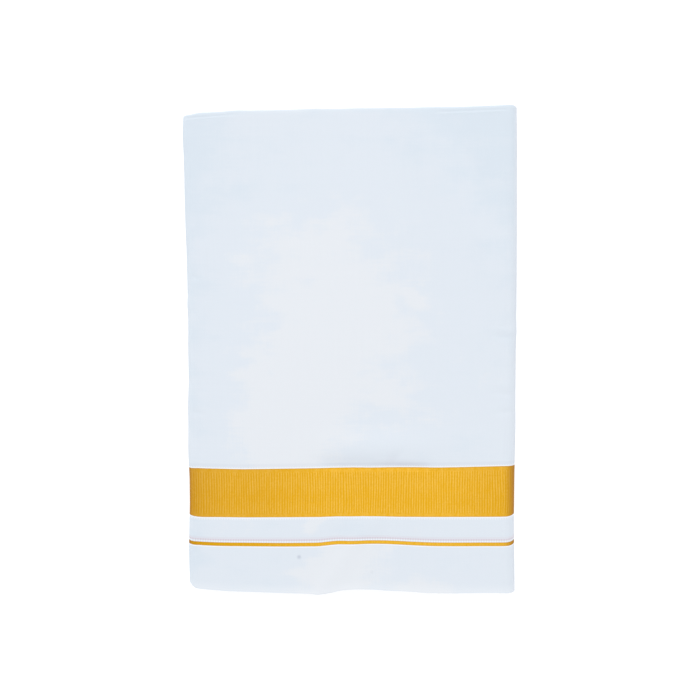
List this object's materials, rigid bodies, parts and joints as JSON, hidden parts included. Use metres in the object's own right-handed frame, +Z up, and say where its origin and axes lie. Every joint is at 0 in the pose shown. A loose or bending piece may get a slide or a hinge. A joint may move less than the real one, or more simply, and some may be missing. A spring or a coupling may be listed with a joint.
{
  "type": "folded dhoti cloth",
  "caption": "Length of white woven cotton, folded flat into a rectangular pile, with a broad ochre border and a fine ochre line along one selvedge.",
  "frame": {"origin": "centre of the pile's footprint, on the surface that the pile rests on", "axes": "+X along the cloth's length, towards the last fold; +Y away from the selvedges with the border, along the pile's longest side; +Z up through the layers"},
  "size_m": [0.2314, 0.3359, 0.0238],
  "materials": {
    "white_cotton": "fine plain weave, calendered, with a faint sheen",
    "ochre_border": "dense ribbed weave of ochre yarn with a soft lustre"
  },
  "bodies": {
    "root": {"outer_turn_selvedge": "white_cotton", "outer_turn_fine_line": "ochre_border", "outer_turn_border_gap": "white_cotton", "outer_turn_broad_border": "ochre_border", "outer_turn_body": "white_cotton", "inner_fold_selvedge": "white_cotton", "inner_fold_fine_line": "ochre_border", "inner_fold_border_gap": "white_cotton", "inner_fold_broad_border": "ochre_border", "inner_fold_body": "white_cotton", "cloth_end_lower": "white_cotton", "cloth_end_upper": "white_cotton", "folded_layers": "white_cotton"}
  },
  "joints": []
}
